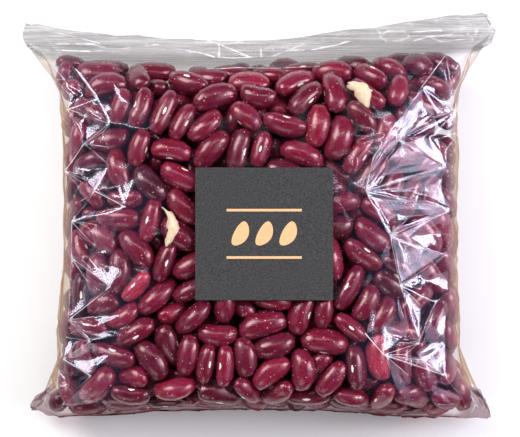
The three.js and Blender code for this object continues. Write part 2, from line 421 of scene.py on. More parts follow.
# The crumpled film: fold lines seen from above in mm, how deep the folds are, and their painted highlights
filmFolds = {
    "left": [(-66, 52), (-58.3, 42.2), (-67.5, 38.9), (-53.5, 33.1), (-62.6, 26.1), (-68.5, 16.4),
             (-58.3, 9), (-47.8, 3.3), (-66.3, -1.9), (-66.8, -15.1), (-53.1, -25.5), (-67.3, -37.8),
             (-60.2, -45.3), (-69.5, -52), (-60.2, -57.6)],  # ridge paths, from the mouth down
    "right": [(68, 57.5), (58.5, 46.3), (70.5, 38.1), (50.7, 27.4), (67.3, 17.9), (38.1, 9), (68.5, 2.2),
              (47, -7), (66.8, -14), (50.7, -25), (63.5, -31.1), (57.4, -45.8), (44.6, -49.8), (66.8, -58)],
    "leftRise": (2.5, 1.2, 2.8, 1.6, 1.3, 2.7, 2.2, 1.4, 2.8, 2, 1.3, 2.6, 1.7, 2.4, 1.5),
    "rightRise": (2, 1.6, 2, 0, 1.1, 2.8, 2.1, 1.2, 1.7, 1, 1, 1, 1.8, 1.8),  # mm off, per corner
    "sheets": (("left", 3), ("left", 7), ("left", 10), ("right", 1), ("right", 4),
               ("right", 6), ("right", 8), ("right", 10)),  # their corners that hold a taut facet
    "wedges": [[(44.6, -49.8, 1.8), (58.5, -51.9, 0.3), (66.8, -58, 1.8)],
               [(38.1, 9, 2.8), (41, 21, 1.4), (46.3, 29.3, 0.8)],
               [(38.1, -42.2, 1.2), (44.6, -49.8, 1.8)]],  # taut facets beside them: x, y, mm off
    "strip": [[(-78, 69), (-59.6, 64.4)], [(-77.4, 64.1), (-61.9, 64.1), (-57.4, 62.6)],
              [(-79.6, 61.6), (-63, 60.9)], [(-60, 61.5), (-38, 63.6), (-24, 61.1), (-16.5, 58.8)],
              [(-14.8, 63.8), (-14.8, 58.6), (-3, 58.8), (-14.8, 63.8)], [(0.7, 62), (1, 58.8)],
              [(5.5, 59.6), (19, 64.8)], [(11.5, 61.6), (18.1, 61.6), (24, 62.4), (33.7, 64.8)],
              [(45.1, 66.8), (47.5, 68.6), (53.9, 68.9), (56.3, 67), (53.9, 65.4), (47.5, 65), (45.1, 66.8)],
              [(57.5, 68.4), (67.8, 69)], [(58, 65.4), (63, 66.8), (76.7, 67.2)], [(68, 65), (80, 66)],
              [(-19, 55.4), (-8, 55.8), (6, 55.6), (22, 56)],
              [(-80, 61.6)], [(80, 63.6)]],  # a lone point holds the film flat
    "shoulders": [[(-77.8, 58.4), (-70.5, 49.5)], [(-73.6, 50), (-68.4, 44), (-69.4, 38.6)],
                  [(-70.6, 35), (-66.8, 31)], [(77.2, 59.8), (70.8, 49)], [(74.4, 53), (70, 44.4)],
                  [(71.4, 30), (67.4, 24)]],
    "ears": [[(-76, -66), (-84, -71)], [(-77, -67), (-79, -73.6)], [(-76.5, -71), (-82, -69.3)],
             [(76, -66), (85, -74.4)], [(77, -74), (80, -67)], [(74, -69), (82.5, -70.5)]],
    "stripDepth": 0.26,
    "shoulderDepth": 0.8,
    "earDepth": 1.4,
    "depthSpread": (0.5, 1.5),  # share of those depths that a point gets
    "ridgeGlint": 0.85,  # strength of the painted highlight line on a ridge
    "sheetGlint": 0.8,  # on the third side of a taut facet
    "spokeGlint": 0.7,
    "faintGlint": 0.7,  # on any other fold sharper than creaseAngle, in degrees
    "creaseAngle": 22,
    "pocket": 0.9,  # mm that the film sinks between two ridges
    "pocketShares": (0.3, 0.35),  # where: share of a ridge's corner, and of the corners on both sides of it
    "pocketRoom": 2.5,
    "wander": 0.45,  # share by which these depths vary
    "spokes": (-40, -8, 30),  # degrees at which folds fan out from the ridge path's corners
    "spokeJitter": 12,
    "spokeLength": (6, 12),
    "spokeRoom": 3,  # mm from the sides and from other points, then from the bottom edge and the strip
    "spokeEnds": (14, 4),
    "middleSpacing": 9.5,  # mm between the other points of the front
    "middleDepths": (-1, 0.8),
    "fineReach": 13,  # mm around a ridge path that is crumpled finely
    "fineSpacing": 6.4,
    "fineDepth": 0.75,
    "tries": 5000,
    "margin": 5,  # mm from the edge, then from the strip
    "stripMargin": 2,
    "hemRows": (0.6, 1.1, 1.9, 3.6, 6.6),  # mm from the bottom edge, up the steep wall there
    "hemSpacing": 8,
    "stripRows": (0.15, 0.38, 0.62, 0.85),  # shares of the strip's width
    "stripSpacing": 24,
    "stripStart": (3, 16),  # mm from the left side to a row's first point
    "stripJitter": (6, 0.05),  # mm along the row, share of the strip's width across it
    "stripRoom": 3,
    "stripEdge": (1.5, 0.8),  # mm that are kept free at the sides and at the mouth
    "stripDepths": (0.2, 1),
    "earSize": (24, 13),  # mm across and along that a bottom corner takes up
    "earStart": (2.5, 2),
    "earSpacing": 3.6,
    "earJitter": 1.3,
    "earFrom": 70,  # mm off the middle
    "edgeJitter": 2,
    "edgeDepth": 0.4,
    "sideSpacing": 9,
    "sideRoom": 2.5,
    "sideEnds": (12, 16),  # mm at the bottom and the mouth where the sides are drawn in less
    "pinch": (0.3, 2.2),  # mm that they are drawn in, by turns
    "pinchSpread": (0.4, 1.4),
    "endPinch": 0.25,
    "bottomSpacing": 12,
    "mouthSpacing": 14,
    "backSpacing": 16,
    "backStart": 7,
    "backEnd": (5, 3),  # mm kept free at the right side and at the mouth
    "backJitter": 3,
    "backDepths": (-0.5, 0.7),
    "weld": 0.3,  # mm
    "levels": 3,  # times that each facet is split in four
    "crinkle": 0.2,  # mm by which the first split is uneven
    "crinkleFade": 3,  # how many times less it is at each next one
    "slackHeight": 12,  # mm above the table, and beside the ridge paths, where the sides are slack
    "slackReach": 9,
    "crumpleReach": (15, 12),  # mm around a ridge path that keeps flat facets, mm over which that ends
    "looseBelow": (-1, 4),  # mm below the strip where film is loose, and mm over which that sets in
    "looseAbove": (3, 5),  # the same above the bottom edge
    "looseHeight": (18, 6),  # and above the table
    "gap": 0.2,  # film to bean
    "mostPush": 4.5,  # mm that a bean can push it out
    "flatBeyond": 78,  # mm from the middle from which no bean lies under it
    "pull": 0.7,  # share of the way to its neighbours that loose film goes in a round
    "sag": 0.008,  # pull towards the beans at each round
    "rounds": 140,
    "smoothing": 25,  # rounds in which the way out of the bag is evened out
    "rayLift": 6,  # mm above and below the film that are searched for beans
    "rayDepth": 9,
    "offTable": 0.03,
    "glintLineReach": (3, 0.5),  # mm to which the distance from a painted highlight line is told, and how much a faint one adds
    "stripGlintLine": 0.5,  # share of that distance in the strip, so that its painted highlight lines are broader
    "sideShade": (1.15, 6),  # strength of the painted edge shade at the sides, and mm over which it falls by 1
    "sidePale": (52, 12, 0.6),  # less at the shoulders: mm from the middle, mm over which it falls, the least
    "edgeShadeEnd": (3, 6),  # mm over which it ends at the strip and at the bottom edge
    "hemShade": (1.4, 2.5),  # painted shade along the bottom edge, as for the sides
    "crumpleShine": (1.7, 10),  # the same around a ridge path
    "crumpleEnd": (3, 6, 2),  # mm from the bottom edge, mm over which it ends there and at the strip
    "stripShine": (0.4, 0.5),  # strength in the strip, and mm below it that count as strip
    "earFade": 3,
    "seed": 5,
}
flatLength = 141  # mm along the film from hem to mouth
frontSteps = 721
frontTurns = np.linspace(np.pi, 0, frontSteps)
frontLine = filmPoint(frontTurns, np.full(frontSteps, 0.5), True)
frontArc = np.concatenate([[0], np.cumsum(np.linalg.norm(np.diff(frontLine, axis=0), axis=1))])
flatWidth = frontArc[-1]


# Place on the flat film, in mm, of a point seen from above
def flatPlace(x, y):
    turn, v = filmPlace(x, y)
    return np.array((np.interp(-turn, -frontTurns, frontArc), v * flatLength))


# Width of the mouth strip at a place across the flat film
def stripWidth(s):
    return along(filmShape["strip"], 2 * s / flatWidth - 1)


# Points of the smooth film at places on the flat one, and the way out of the bag there
def placedFilm(places, front):
    turn = np.interp(places[:, 0], frontArc, frontTurns)
    v = places[:, 1] / flatLength
    step, least = 0.01, 1e-9
    less, more = np.clip(turn - step, 0, np.pi), np.clip(turn + step, 0, np.pi)
    acrossWay = filmPoint(less, v, front) - filmPoint(more, v, front)
    less, more = np.clip(v - step, 0, 1), np.clip(v + step, 0, 1)
    alongWay = filmPoint(turn, more, front) - filmPoint(turn, less, front)
    out = np.cross(acrossWay, alongWay)
    out /= np.maximum(np.linalg.norm(out, axis=1), least)[:, None]
    return filmPoint(turn, v, front), out if front else -out


# Fold points of the front: places on the flat film, mm that each stands off, the fold lines between them
# and how strong the painted highlight line on each is
def frontFolds(rng):
    f = filmFolds
    places, heights, lines, glintStrengths = [], [], [], []

    def addPoint(spot, height):
        places.append(spot)
        heights.append(height)

    def addLine(path, depths, strength):
        start = len(places)
        places.extend(path)
        heights.extend(depths)
        lines.extend((start + k, start + k + 1) for k in range(len(path) - 1))
        glintStrengths.extend([strength] * (len(path) - 1))

    def isClear(spot, room):
        return np.linalg.norm(np.array(places) - spot, axis=1).min() > room

    def inSheet(spot):
        return any(intersect_point_tri_2d(spot, *sheet) for sheet in sheets)

    paths = {side: [flatPlace(x, y) for x, y in f[side]] for side in ("left", "right")}
    sheets = [paths[side][k - 1:k + 2] for side, k in f["sheets"]]
    for wedge in f["wedges"]:
        spots = [flatPlace(x, y) for x, y, _ in wedge]
        addLine(spots, [rise for _, _, rise in wedge], f["ridgeGlint"])
        if len(spots) == 3:
            sheets.append(spots)
    atCorner, beside = f["pocketShares"]
    room, (fromHem, fromStrip) = f["spokeRoom"], f["spokeEnds"]
    for side, outward in (("left", -1), ("right", 1)):
        path = paths[side]
        first = len(places)
        addLine(path, f[side + "Rise"], f["ridgeGlint"])
        for k, (before, here, after) in enumerate(zip(path, path[1:], path[2:])):
            if (side, k + 1) in f["sheets"]:
                lines.append((first + k, first + k + 2))
                glintStrengths.append(f["sheetGlint"])
                continue
            pocket = atCorner * here + beside * before + beside * after
            if isClear(pocket, f["pocketRoom"]):
                addPoint(pocket, -f["pocket"] * rng.uniform(1 - f["wander"], 1 + f["wander"]))
            way = outward if outward * (2 * here[0] - before[0] - after[0]) < 0 else -outward
            for turn in f["spokes"]:
                turn = math.radians(turn + rng.uniform(-f["spokeJitter"], f["spokeJitter"]))
                length = rng.uniform(*f["spokeLength"])
                end = here + length * np.array((way * math.cos(turn), math.sin(turn)))
                inFront = room < end[0] < flatWidth - room
                inFront &= fromHem < end[1] < flatLength - stripWidth(end[0]) - fromStrip
                if inFront and isClear(end, room):
                    lines.append((first + k + 1, len(places)))
                    glintStrengths.append(f["spokeGlint"])
                    addPoint(end, rng.uniform(-1, 1) * f["pocket"])
    ridges = np.array(places)
    ear = f["earSize"][0]
    for row, t in enumerate(f["hemRows"]):
        for s in np.arange(ear + row % 2 * f["hemSpacing"] / 2, flatWidth - ear, f["hemSpacing"]):
            spot = np.array((s + rng.uniform(-f["edgeJitter"], f["edgeJitter"]), t))
            addPoint(spot, rng.uniform(-f["edgeDepth"], f["edgeDepth"]))
    margin = f["margin"]
    for spot in rng.uniform((margin, margin), (flatWidth - margin, flatLength - margin), (f["tries"], 2)):
        inStrip = flatLength - spot[1] < stripWidth(spot[0]) + f["stripMargin"]
        fine = np.linalg.norm(ridges - spot, axis=1).min() < f["fineReach"]
        clear = isClear(spot, f["fineSpacing"] if fine else f["middleSpacing"])
        if clear and not inStrip and not inSheet(spot):
            addPoint(spot, rng.uniform(*f["middleDepths"]) * (f["fineDepth"] if fine else 1))
    # Folds in the strip, the shoulders and the ears carry full painted highlight lines
    for kind, depth in (("strip", "stripDepth"), ("shoulders", "shoulderDepth"), ("ears", "earDepth")):
        for path in f[kind]:
            spots = [flatPlace(x, y) for x, y in path]
            folded = len(spots) > 1
            addLine(spots, [rng.uniform(*f["depthSpread"]) * f[depth] * folded for _ in spots], 1)
    (slide, shift), (sideRoom, mouthRoom) = f["stripJitter"], f["stripEdge"]
    for row, share in enumerate(f["stripRows"]):
        for s in np.arange(rng.uniform(*f["stripStart"]), flatWidth - f["stripStart"][0], f["stripSpacing"]):
            s = np.clip(s + rng.uniform(-slide, slide), sideRoom, flatWidth - sideRoom)
            t = flatLength - stripWidth(s) * (1 - share + rng.uniform(-shift, shift))
            spot = np.array((s, min(t, flatLength - mouthRoom)))
            if isClear(spot, f["stripRoom"]):
                addPoint(spot, (-1) ** row * rng.uniform(*f["stripDepths"]) * f["stripDepth"])
    jitter = f["earJitter"]
    for corner in (0, flatWidth):
        for s in np.arange(f["earStart"][0], f["earSize"][0], f["earSpacing"]):
            for t in np.arange(f["earStart"][1], f["earSize"][1], f["earSpacing"]):
                spot = np.array((abs(corner - s), t)) + rng.uniform(-jitter, jitter, 2)
                addPoint(spot, rng.uniform(-1, 1) * f["earDepth"])
    return places, heights, lines, glintStrengths


# Whether a point lies where the film is slack: the front's sides, the mouth strip and the bottom corners
def isSlack(point):
    f = filmFolds
    side = f["left"] if point.x < 0 else f["right"]
    ridge = np.interp(point.y, [y for _, y in side[::-1]], [x for x, _ in side[::-1]])
    atSide = point.z > f["slackHeight"] and abs(point.x) > abs(ridge) - f["slackReach"]
    atMouth = belowStrip(point.x, point.y) < 1
    lowest = min(y for _, y in filmShape["bottom"])
    atEar = point.y < lowest + f["earSize"][1] and abs(point.x) > f["earFrom"]
    return atSide or atMouth or atEar


# The edge that front and back share: sides with the outline's corners, bottom and mouth
def filmEdge(rng):
    f, s = filmFolds, filmShape
    edge = []
    jitter, depth = f["edgeJitter"], f["edgeDepth"]
    fromBottom, fromMouth = f["sideEnds"]
    for sign, side, at in ((-1, "left", 0), (1, "right", flatWidth)):
        low, high = along(s["bottom"], sign), along(s["mouth"], sign)
        corners = [(y - low) / (high - low) * flatLength for y, _ in s[side] + s[side + "Tab"]]
        corners = [t for t in corners if 1 < t < flatLength - 1]
        edge += [(at, t, 0) for t in corners]
        for k, t in enumerate(np.arange(f["sideSpacing"], flatLength - 3, f["sideSpacing"])):
            t += rng.uniform(-jitter, jitter)
            if min(abs(t - corner) for corner in corners) > f["sideRoom"]:
                slack = 1 if fromBottom < t < flatLength - fromMouth else f["endPinch"]
                edge.append((at, t, -f["pinch"][k % 2] * rng.uniform(*f["pinchSpread"]) * slack))
    for t, spacing in ((0, f["bottomSpacing"]), (flatLength, f["mouthSpacing"])):
        middle = np.arange(spacing, flatWidth - spacing / 2, spacing)
        middle = [at + rng.uniform(-jitter, jitter) for at in middle]
        edge += [(0, t, 0), (flatWidth, t, 0)] + [(at, t, rng.uniform(-depth, depth)) for at in middle]
    return edge


# Adds one sheet of flat facets between fold points
def foldedSheet(bm, places, heights, lines, glintStrengths, front):
    flat = np.array(places)
    spots, out = placedFilm(flat, front)
    atSide = (flat[:, 0] <= 0) | (flat[:, 0] >= flatWidth)
    atEnd = ~atSide & ((flat[:, 1] <= 0) | (flat[:, 1] >= flatLength))
    out[atSide] = np.sign(spots[atSide]) * (1, 0, 0)  # front and back move as one along their edge
    out[atEnd] = (0, 0, 1)
    spots = spots + out * np.array(heights)[:, None]
    lowest, sameSpot = 0.05, 1e-4  # mm
    spots[:, 2] = np.maximum(spots[:, 2], lowest)
    flatSpots = [Vector(p) for p in flat]
    points, edges, faces, sources, drawn, _ = delaunay_2d_cdt(flatSpots, lines, [], 0, sameSpot)
    crossings = placedFilm(np.array(points), front)[0]  # where two fold lines cross
    verts = [bm.verts.new(spots[source[0]] if source else crossings[k]) for k, source in enumerate(sources)]
    for face in faces:
        bm.faces.new([verts[k] for k in (face if front else face[::-1])])
    fold = bm.edges.layers.float["fold"]
    for (a, b), line in zip(edges, drawn):
        if line:
            bm.edges.get((verts[a], verts[b]))[fold] = max(glintStrengths[k] for k in line)
    atEdge = atSide | atEnd
    shared = {verts[k] for k, source in enumerate(sources) if source and atEdge[source[0]]}
    chords = [e for e in bm.edges if shared.issuperset(e.verts) and not e.is_boundary]
    for part in bmesh.ops.subdivide_edges(bm, edges=chords, cuts=1)["geom_inner"]:
        if isinstance(part, bmesh.types.BMVert):  # keeps front and back apart between two points of the edge
            part.co.z += filmShape["ply"] / 4 * (1 if front else -1)


def foldFilm():
    f = filmFolds
    rng = np.random.default_rng(f["seed"])
    edge = filmEdge(rng)
    edgePlaces, edgeHeights = [np.array(e[:2]) for e in edge], [e[2] for e in edge]
    bm = bmesh.new()
    # The fold layer holds each edge's painted highlight line strength
    fold = bm.edges.layers.float.new("fold")
    places, heights, lines, glintStrengths = frontFolds(rng)
    foldedSheet(bm, places + edgePlaces, heights + edgeHeights, lines, glintStrengths, True)
    places, heights = [], []
    start, spacing, jitter = f["backStart"], f["backSpacing"], f["backJitter"]
    for t in np.arange(start, flatLength - f["backEnd"][1], spacing):
        for s in np.arange(start, flatWidth - f["backEnd"][0], spacing):
            places.append(np.array((s, t)) + rng.uniform(-jitter, jitter, 2))
            heights.append(rng.uniform(*f["backDepths"]))
    foldedSheet(bm, places + edgePlaces, heights + edgeHeights, [], [], False)
    bmesh.ops.remove_doubles(bm, verts=bm.verts, dist=f["weld"])
    bmesh.ops.triangulate(bm, faces=bm.faces)
    # Sharp folds in slack film that carry no line yet get a faint painted highlight line
    for e in bm.edges:
        a, b = (v.co for v in e.verts)
        sharp = e.calc_face_angle(0) > math.radians(f["creaseAngle"])
        sharp &= belowStrip(a.x, a.y) > 1 or abs(a.x - b.x) > 2 * abs(a.y - b.y)  # along the strip only
        if sharp and not e[fold] and isSlack(a) and isSlack(b):
            e[fold] = f["faintGlint"] * rng.uniform(0, 1)
    for level in range(f["levels"]):
        old = set(bm.verts)
        bmesh.ops.subdivide_edges(bm, edges=bm.edges, cuts=1, use_grid_fill=True)
        for v in bm.verts:
            if v not in old:
                v.co += v.normal * rng.normal(0, f["crinkle"] / f["crinkleFade"] ** level)
    bmesh.ops.triangulate(bm, faces=bm.faces)
    bmesh.ops.recalc_face_normals(bm, faces=bm.faces)
    if bm.calc_volume(signed=True) < 0:
        bmesh.ops.reverse_faces(bm, faces=bm.faces)
    print("film folded,", len(bm.faces), "triangles")
    return bm


# 0 up to a start, 1 from so many mm further on
def fadeIn(values, start, reach):
    return np.clip((values - start) / reach, 0, 1)


# A strength that falls by 1 over so many mm
def fadeOut(values, strength, reach):
    return np.clip(strength - values / reach, 0, 1)


# Distance of points, seen from above, from the ridge paths
def fromRidges(points):
    near = np.full(len(points), np.inf)
    for side in ("left", "right"):
        path = np.array(filmFolds[side])
        for a, b in zip(path, path[1:]):
            part = np.clip((points - a) @ (b - a) / ((b - a) @ (b - a)), 0, 1)
            near = np.minimum(near, np.linalg.norm(points - a - part[:, None] * (b - a), axis=1))
    return near


# Distance of each point from the nearest painted highlight line, more where that is faint
def glintLineDistance(points, strength):
    most, faintness = filmFolds["glintLineReach"]
    lines = KDTree(len(points))
    for k in np.nonzero(strength)[0]:
        lines.insert(Vector(points[k]), k)
    lines.balance()
    fromGlintLine = np.zeros(len(points))
    for k, p in enumerate(points):
        _, nearest, distance = lines.find(Vector(p))
        fromGlintLine[k] = min(most, distance) + (1 - strength[nearest]) * faintness
    return fromGlintLine


# Lets the film down on the beans: flat facets stay near the ridge paths, elsewhere it stretches over
# the beans. Gives back what the film's material has to know at each point
def clingFilm(bm, beanTree, bend):
    f, s = filmFolds, filmShape
    bm.verts.ensure_lookup_table()
    bm.verts.index_update()
    points = np.array([v.co for v in bm.verts])
    out = np.array([v.normal for v in bm.verts])
    ends = np.array([[v.index for v in e.verts] for e in bm.edges])
    degree = np.bincount(ends.ravel(), minlength=len(points))[:, None]

    def around(values):
        total = np.zeros_like(values)
        for k in range(values.shape[1]):
            total[:, k] = np.bincount(ends[:, 0], values[ends[:, 1], k], len(values))
            total[:, k] += np.bincount(ends[:, 1], values[ends[:, 0], k], len(values))
        return total / degree

    for _ in range(f["smoothing"]):
        out = around(out)
    out /= np.linalg.norm(out, axis=1)[:, None]
    start, lift, deep = points.copy(), f["rayLift"], f["rayDepth"]
    floor = np.full(len(points), -float(deep))
    for k in range(len(points)):
        hit = beanTree.ray_cast(Vector(start[k] + lift * out[k]), Vector(-out[k]), lift + deep)
        if hit[0] is not None and hit[1].dot(Vector(out[k])) > 0:
            floor[k] = lift - hit[3]
    near = fromRidges(points[:, :2])
    fromHem = points[:, 1] - along(s["bottom"], points[:, 0] / bagHigh[0])
    fromStrip = belowStrip(points[:, 0], points[:, 1])
    flatFilm = (fromStrip < 0) | (np.abs(points[:, 0]) > f["flatBeyond"])
    floor[flatFilm | (floor > f["mostPush"])] = -deep
    loose = fadeIn(near, *f["crumpleReach"]) * fadeIn(fromStrip, *f["looseBelow"])
    loose = loose * fadeIn(fromHem, *f["looseAbove"]) * fadeIn(points[:, 2], *f["looseHeight"])
    labelMiddle, labelHalf = (labelLow + labelHigh)[:2] / 2, (labelHigh - labelLow)[:2] / 2
    glued = (np.abs(points[:, :2] - labelMiddle) < labelHalf + labelSheet["glueReach"]).all(1)
    glued &= points[:, 2] > s["seam"]
    for _ in range(f["rounds"]):
        pull = ((around(points) - points) * out).sum(1)
        height = ((points - start) * out).sum(1) + loose * (f["pull"] * pull - f["sag"])
        points = start + out * np.maximum(height, floor + f["gap"])[:, None]
        points[glued, 2] = bend(points[glued, 0], points[glued, 1]) - labelSheet["glue"]
    points[:, 2] = np.maximum(points[:, 2], f["offTable"])
    for v, p in zip(bm.verts, points):
        v.co = p
    # Painted highlight lines: their strength at each point, then each point's distance from the nearest one
    fold = bm.edges.layers.float["fold"]
    strength = np.array([max(e[fold] for e in v.link_edges) for v in bm.verts])
    bm.edges.layers.float.remove(fold)
    fromGlintLine = glintLineDistance(points, strength)
    fromGlintLine[fromStrip < 0] *= f["stripGlintLine"]
    x, y = points[:, 0], points[:, 1]
    # Painted shade and bounce: a tan tint near the sides, paler at the shoulders, none in ears, strip or hem
    fromSide = np.minimum(x - along(s["left"], y), along(s["right"], y) - x)
    ear = fadeIn(np.abs(x), s["body"], f["earFade"]) * fadeIn(-fromHem, -f["earSize"][1], f["earFade"])
    (top, fade, least), (stripEnd, hemEnd) = f["sidePale"], f["edgeShadeEnd"]
    edgeShade = fadeOut(fromSide, *f["sideShade"]) * np.clip((top - y) / fade, least, 1)
    edgeShade *= (1 - ear) * fadeIn(fromStrip, 0, stripEnd) * fadeIn(fromHem, 0, hemEnd)
    # Painted shade: a darker tint along the bottom edge, none in the ears
    hem = fadeOut(fromHem, *f["hemShade"]) * (1 - ear)
    above, hemEnd, stripEnd = f["crumpleEnd"]
    crumpled = fadeOut(near, *f["crumpleShine"]) * fadeIn(fromHem, above, hemEnd)
    crumpled = crumpled * fadeIn(fromStrip, 0, stripEnd)
    share, below = f["stripShine"]
    slack = np.maximum.reduce([crumpled, share * fadeOut(fromStrip, below, 1), ear])
    print("film laid on the beans, stands off", np.round(np.percentile(height - floor, [5, 50, 95]), 1), "mm")
    return {"fromStrip": fromStrip, "edgeShade": edgeShade, "hem": hem, "crumpled": crumpled,
            "slack": slack, "ear": ear, "fromGlintLine": fromGlintLine}


# Two pale chips of bean flesh on top of the beans
chipSet = {
    # x, y, length, width and bow in plan in mm, then taper and turn in degrees
    "chips": ((36.5, 44, 11.5, 5.6, 2.4, 0.1, -56), (-32.4, -3.6, 14, 4.2, 3.2, -0.5, -84)),
    "divisions": (12, 6),
    "thick": 0.8,
    "arch": 1.5,  # mm that a chip bulges across
    "leastWidth": 0.04,  # square of the share of its width at its ends
    "ragged": 0.25,  # mm by which its edge is uneven
    "sunk": 80,  # percent of its points that lie above the beans
    "seed": 3,
}


# Height of the topmost bean over a point
def topOfBeans(beanTree, x, y):
    above = 90  # mm
    hit = beanTree.ray_cast(Vector((x, y, above)), Vector((0, 0, -1)), above)
    return hit[0].z if hit[0] is not None else 0


def makeChips(beanTree):
    c = chipSet
    rng = np.random.default_rng(c["seed"])
    bm = bmesh.new()
    for x, y, length, width, bow, taper, turn in c["chips"]:
        chip = bmesh.new()
        bmesh.ops.create_grid(chip, x_segments=c["divisions"][0], y_segments=c["divisions"][1], size=0.5)
        for v in chip.verts:
            u, w = 2 * v.co.x, 2 * v.co.y
            half = width / 2 * math.sqrt(max(c["leastWidth"], 1 - u * u)) * (1 - taper * u)
            rough = rng.normal(0, c["ragged"], 2) * v.is_boundary
            v.co.x, v.co.y = u * length / 2 + rough[0], w * half + bow * (0.5 - u * u) + rough[1]
            v.co.z = -c["arch"] * w * w - u * u
        bmesh.ops.solidify(chip, geom=chip.faces[:], thickness=c["thick"])
        bmesh.ops.recalc_face_normals(chip, faces=chip.faces)
        turned = Matrix.Rotation(math.radians(turn), 3, "Z")
        bmesh.ops.rotate(chip, verts=chip.verts, cent=(0, 0, 0), matrix=turned)
        tops = [topOfBeans(beanTree, x + v.co.x, y + v.co.y) - v.co.z for v in chip.verts]
        bmesh.ops.translate(chip, verts=chip.verts, vec=(x, y, np.percentile(tops, c["sunk"])))
        part = bpy.data.meshes.new("chip")
        chip.to_mesh(part)
        chip.free()
        bm.from_mesh(part)
        bpy.data.meshes.remove(part)
    bmesh.ops.triangulate(bm, faces=bm.faces)
    print("chips made,", len(bm.faces), "triangles")
    return bm


# The paper label, which lies on the topmost beans
labelSheet = {
    "divisions": 24,
    "thick": 0.25,  # mm
    "rise": 0.25,  # over the highest bean
    "glue": 0.15,  # film under the paper
    "glueReach": 0.3,  # mm around the paper
    "probes": 18,  # places along each side where the beans' height is asked
    "highest": 60,  # percent of them that count as gaps between the beans
    "ink": 0.04,
    "ruleWidth": 27,  # mm, the two printed rules
    "ruleThick": 0.9,
    "ruleGap": 17,
    "beanLength": 9.5,  # the printed beans between them
    "beanWidth": 4.6,
    "beanTilt": 62,  # degrees
    "beanPitch": 8.6,
    "beanBelly": 0.12,  # share by which its middle is fuller, then by which it is bent
    "beanBend": 0.16,
    "sharp": 40,  # degrees
}


# Height of the label's underside over a point: a smooth bend fitted to the beans below it
def labelBend(beanTree):
    columns, rows = (np.linspace(labelLow[k], labelHigh[k], labelSheet["probes"]) for k in (0, 1))
    at = np.stack(np.meshgrid(columns, rows), axis=-1).reshape(-1, 2)
    tops = np.array([topOfBeans(beanTree, x, y) for x, y in at])
    high = tops > np.percentile(tops, labelSheet["highest"])

    def terms(x, y):
        return np.stack([np.ones_like(x), x, y, x * x, y * y], axis=-1)

    fit = np.linalg.lstsq(terms(*at[high].T), tops[high], rcond=None)[0]
    rise = (tops - terms(*at.T) @ fit).max() + labelSheet["rise"]
    return lambda x, y: terms(np.asarray(x, float), np.asarray(y, float)) @ fit + rise


def makeLabel(bend):
    s = labelSheet
    bm = bmesh.new()
    bmesh.ops.create_grid(bm, x_segments=s["divisions"], y_segments=s["divisions"], size=0.5)
    size, middle = labelHigh - labelLow, (labelHigh + labelLow) / 2
    for v in bm.verts:
        v.co.x, v.co.y = v.co.x * size[0] + middle[0], v.co.y * size[1] + middle[1]
        v.co.z = float(bend(v.co.x, v.co.y)) + s["thick"]
    bmesh.ops.solidify(bm, geom=bm.faces[:], thickness=s["thick"])
    bmesh.ops.recalc_face_normals(bm, faces=bm.faces)
    bmesh.ops.scale(bm, verts=bm.verts, vec=(mm, mm, mm))
    print("label made")
    mesh = meshFrom(bm, "label")
    mesh.set_sharp_from_angle(angle=math.radians(s["sharp"]))
    return mesh


# Two rules with three beans between them, as a thin layer of ink
def makeInk(bend):
    s = labelSheet
    middle = (labelHigh + labelLow) / 2
    bm = bmesh.new()
    for side in (-1, 1):
        made = bmesh.ops.create_grid(bm, x_segments=24, y_segments=1, size=0.5)["verts"]
        bmesh.ops.scale(bm, verts=made, vec=(s["ruleWidth"], s["ruleThick"], 1))
        bmesh.ops.translate(bm, verts=made, vec=(0, side * s["ruleGap"] / 2, 0))
    for k in (-1, 0, 1):
        made = bmesh.ops.create_circle(bm, cap_ends=True, segments=32, radius=0.5)["verts"]
        for v in made:
            x, y = 2 * v.co.x, 2 * v.co.y
            v.co.x = x * s["beanLength"] / 2
            v.co.y = y * s["beanWidth"] / 2 * (1 + s["beanBelly"] * (1 - x * x))
            v.co.y += s["beanWidth"] * s["beanBend"] * (x * x - 0.5)
        turn = Matrix.Rotation(math.radians(s["beanTilt"]), 3, "Z")
        bmesh.ops.rotate(bm, verts=made, cent=(0, 0, 0), matrix=turn)
        bmesh.ops.translate(bm, verts=made, vec=(k * s["beanPitch"], 0, 0))
    bmesh.ops.triangulate(bm, faces=bm.faces)
    bmesh.ops.recalc_face_normals(bm, faces=bm.faces)
    for v in bm.verts:
        v.co.x, v.co.y = v.co.x + middle[0], v.co.y + middle[1]
        v.co.z = float(bend(v.co.x, v.co.y)) + s["thick"] - s["ink"]
    raised = bmesh.ops.extrude_face_region(bm, geom=bm.faces[:])["geom"]
    top = [g for g in raised if isinstance(g, bmesh.types.BMVert)]
    bmesh.ops.translate(bm, verts=top, vec=(0, 0, 2 * s["ink"]))
    bmesh.ops.recalc_face_normals(bm, faces=bm.faces)
    bmesh.ops.scale(bm, verts=bm.verts, vec=(mm, mm, mm))
    for face in bm.faces:
        face.smooth = False
    print("label print made")
    mesh = bpy.data.meshes.new("labelInk")
    bm.to_mesh(mesh)
    bm.free()
    return mesh
